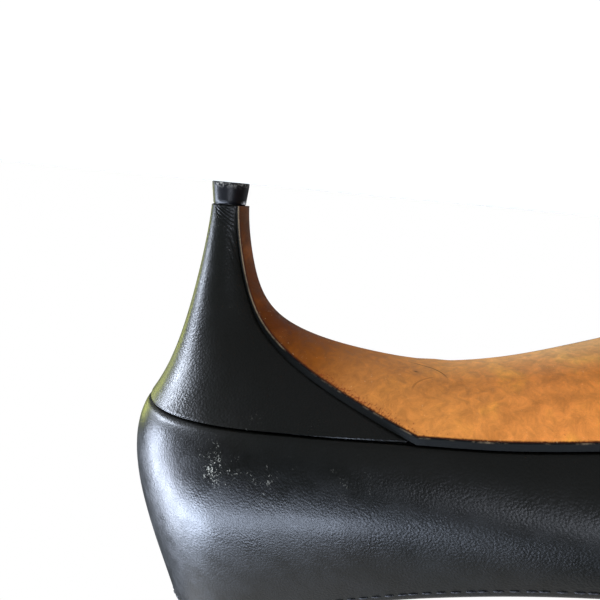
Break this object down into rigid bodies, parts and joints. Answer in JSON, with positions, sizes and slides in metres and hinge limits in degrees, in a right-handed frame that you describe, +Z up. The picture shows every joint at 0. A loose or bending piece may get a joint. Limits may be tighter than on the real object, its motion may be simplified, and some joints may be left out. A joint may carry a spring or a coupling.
{
  "type": "kitten heel pump",
  "caption": "Right kitten heel pump: low-cut leather upper with a pointed toe, covered curved heel with a top lift, and a leather sole that runs on down the heel breast.",
  "frame": {"origin": "on the floor, under the middle of the shoe's bounding box", "axes": "+X towards the toe, +Y towards the inner side of the foot, +Z up from the floor"},
  "size_m": [0.2444, 0.0754, 0.1005],
  "materials": {
    "black_calf": "polished",
    "sock_leather": "matte",
    "sole_leather": "satin",
    "heel_cover": "polished",
    "lift_rubber": "matte"
  },
  "bodies": {
    "root": {"upper": "black_calf", "insole": "sock_leather", "outsole": "sole_leather", "heel": "heel_cover", "top_lift": "lift_rubber"}
  },
  "joints": []
}
